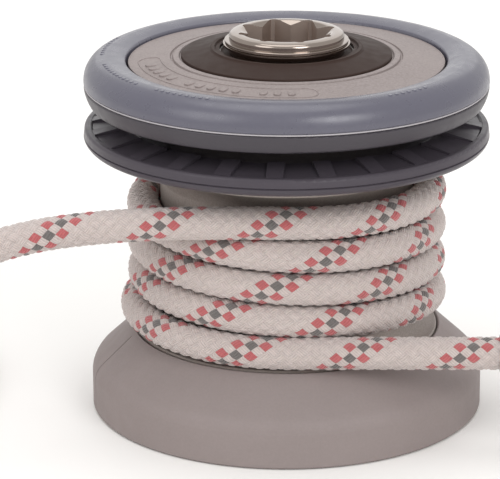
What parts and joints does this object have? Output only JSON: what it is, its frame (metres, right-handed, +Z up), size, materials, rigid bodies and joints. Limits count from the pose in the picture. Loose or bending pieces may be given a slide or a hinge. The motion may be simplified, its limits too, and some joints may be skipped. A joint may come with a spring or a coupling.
{
  "type": "self-tailing sailboat winch",
  "caption": "Self-tailing sailboat winch with a geared drum, sprung rope jaws, a fixed cover, a star handle socket and a braided sheet wrapped on its drum.",
  "frame": {"origin": "centre of the deck bolt circle on the underside of the base", "axes": "+Z up along the drum's axis; the loaded rope leaves towards +X at the front (-Y)"},
  "size_m": [0.265, 0.1052, 0.0945],
  "materials": {
    "base_grey": "moulded, matt taupe grey",
    "cast_alloy": "cast, bead blasted",
    "stainless": "satin stainless",
    "polished": "polished stainless",
    "bronze": "turned bronze",
    "acetal": "natural acetal",
    "drum_alloy": "satin anodised, warm grey",
    "jaw_dark": "moulded, satin dark blue-grey",
    "crown_blue": "moulded, satin blue-grey",
    "disc_grain": "fine sand-grain cast",
    "nut_dark": "moulded, satin dark brown-grey",
    "rope": "braided polyester, off-white with red and grey flecks"
  },
  "bodies": {
    "base": {"base_plate": "cast_alloy", "base_skirt": "base_grey", "centre_stem": "cast_alloy", "stem_screws": "stainless", "idler_pins": "stainless", "holding_pins": "stainless", "lower_bush": "bronze", "upper_bush": "acetal", "thrust_washer": "acetal", "cover_disc": "disc_grain", "cover_ring": "crown_blue", "cover_nut": "nut_dark", "cover_screws": "stainless", "feeder_arm": "stainless", "arm_screws": "stainless", "rope_wraps": "rope", "rope_load_run": "rope", "load_eye": "rope", "load_thimble": "polished", "load_whipping": "jaw_dark", "rope_tail": "rope", "rope_tail_coil": "rope"},
    "drum": {"drum": "drum_alloy", "ring_gear": "bronze", "ratchet_ring": "stainless", "upper_jaw": "crown_blue", "jaw_screws": "stainless", "jaw_spring": "stainless"},
    "lower_jaw": {"lower_jaw": "jaw_dark"},
    "spindle": {"spindle": "polished", "pinion": "bronze", "drive_pins": "stainless"},
    "drive_pawl_a": {"drive_pawl_a": "stainless"},
    "drive_pawl_b": {"drive_pawl_b": "stainless"},
    "holding_pawl_a": {"holding_pawl_a": "stainless"},
    "holding_pawl_b": {"holding_pawl_b": "stainless"},
    "idler_a": {"idler_gear_a": "bronze"},
    "idler_b": {"idler_gear_b": "bronze"},
    "lower_bearing": {"lower_bearing_cage": "acetal", "lower_bearing_rollers": "stainless"},
    "upper_bearing": {"upper_bearing_cage": "acetal", "upper_bearing_rollers": "stainless"}
  },
  "joints": [
    {"name": "drum_spin", "type": "hinge", "parent": "base", "child": "drum", "pos_m": [0, 0, 0.04], "axis": [0, 0, 1], "continuous": true},
    {"name": "jaw_slide", "type": "slide", "parent": "drum", "child": "lower_jaw", "axis": [0, 0, 1], "range_m": [-0.0015, 0], "stiffness_N_per_m": 8000, "springref_m": 0.001, "deforming": ["jaw_spring"]},
    {"name": "spindle_spin", "type": "hinge", "parent": "base", "child": "spindle", "pos_m": [0, 0, 0.04], "axis": [0, 0, 1], "continuous": true},
    {"name": "idler_a_spin", "type": "hinge", "parent": "base", "child": "idler_a", "pos_m": [0.01937, 0, 0.0107], "axis": [0, 0, 1], "continuous": true},
    {"name": "idler_b_spin", "type": "hinge", "parent": "base", "child": "idler_b", "pos_m": [-0.01937, 0, 0.0107], "axis": [0, 0, 1], "continuous": true},
    {"name": "lower_bearing_spin", "type": "hinge", "parent": "base", "child": "lower_bearing", "pos_m": [0, 0, 0.028], "axis": [0, 0, 1], "continuous": true},
    {"name": "upper_bearing_spin", "type": "hinge", "parent": "base", "child": "upper_bearing", "pos_m": [0, 0, 0.061], "axis": [0, 0, 1], "continuous": true},
    {"name": "drive_pawl_a_swing", "type": "hinge", "parent": "spindle", "child": "drive_pawl_a", "pos_m": [0, 0.0064, 0.0169], "axis": [0, 0, 1], "range_deg": [0, 24]},
    {"name": "drive_pawl_b_swing", "type": "hinge", "parent": "spindle", "child": "drive_pawl_b", "pos_m": [0, -0.0064, 0.0169], "axis": [0, 0, 1], "range_deg": [0, 24]},
    {"name": "holding_pawl_a_swing", "type": "hinge", "parent": "base", "child": "holding_pawl_a", "pos_m": [0, 0.0244, 0.016], "axis": [0, 0, 1], "range_deg": [0, 20]},
    {"name": "holding_pawl_b_swing", "type": "hinge", "parent": "base", "child": "holding_pawl_b", "pos_m": [0, -0.0244, 0.016], "axis": [0, 0, 1], "range_deg": [0, 20]}
  ],
  "couplings": [
    {"joint": "spindle_spin", "follows": "drum_spin", "ratio": -3.4286},
    {"joint": "idler_a_spin", "follows": "drum_spin", "ratio": 2.8235},
    {"joint": "idler_b_spin", "follows": "drum_spin", "ratio": 2.8235},
    {"joint": "lower_bearing_spin", "follows": "drum_spin", "ratio": 0.54082},
    {"joint": "upper_bearing_spin", "follows": "drum_spin", "ratio": 0.54082}
  ]
}
